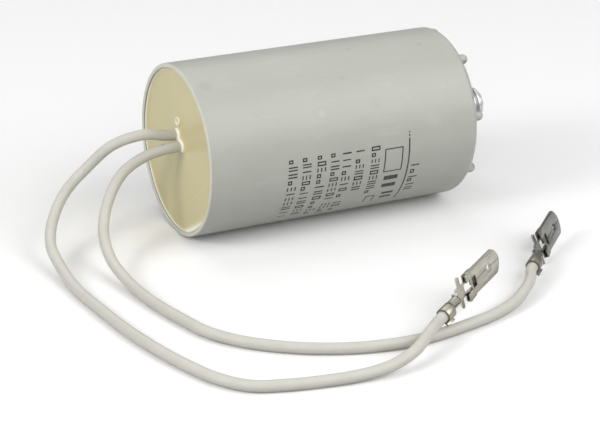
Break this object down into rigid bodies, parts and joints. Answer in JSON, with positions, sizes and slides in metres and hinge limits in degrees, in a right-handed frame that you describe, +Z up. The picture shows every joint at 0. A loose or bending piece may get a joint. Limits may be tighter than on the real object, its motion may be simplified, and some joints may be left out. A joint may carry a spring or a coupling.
{
  "type": "motor run capacitor",
  "caption": "Round plastic-cased motor run capacitor with a resin-potted end, two insulated leads with folded tab terminals, and a threaded mounting stud on the other end.",
  "frame": {"origin": "on the surface under the middle of the can and its stud, measured without the leads and their terminals", "axes": "+X runs along the can from the potted end to the stud, +Z is up, -Y is the side that the leads lie on"},
  "size_m": [0.1141, 0.1017, 0.04],
  "materials": {
    "case_plastic": "satin grey-green moulded polypropylene",
    "plated_steel": "bright zinc-plated steel",
    "metallised_film": "metallised polypropylene film, wound tight",
    "core_plastic": "natural moulded plastic",
    "plain_film": "clear amber film",
    "sprayed_zinc": "rough sprayed zinc",
    "solder": "dull tin solder",
    "resin": "glossy cream casting resin",
    "lead_insulation": "off-white flexible vinyl",
    "copper_strand": "bare stranded copper",
    "tinned_brass": "tin-plated brass strip"
  },
  "bodies": {
    "root": {"case": "case_plastic", "mounting_stud": "plated_steel", "film_winding": "metallised_film", "winding_core": "core_plastic", "outer_wrap": "plain_film", "lead_end_contact": "sprayed_zinc", "base_end_contact": "sprayed_zinc", "base_spacer": "core_plastic", "core_sleeve": "lead_insulation", "solder_joint_a": "solder", "solder_joint_b": "solder", "potting_resin": "resin", "lead_a": "lead_insulation", "lead_b": "lead_insulation", "lead_a_conductor": "copper_strand", "lead_b_conductor": "copper_strand", "lead_a_terminal": "tinned_brass", "lead_b_terminal": "tinned_brass"}
  },
  "joints": []
}
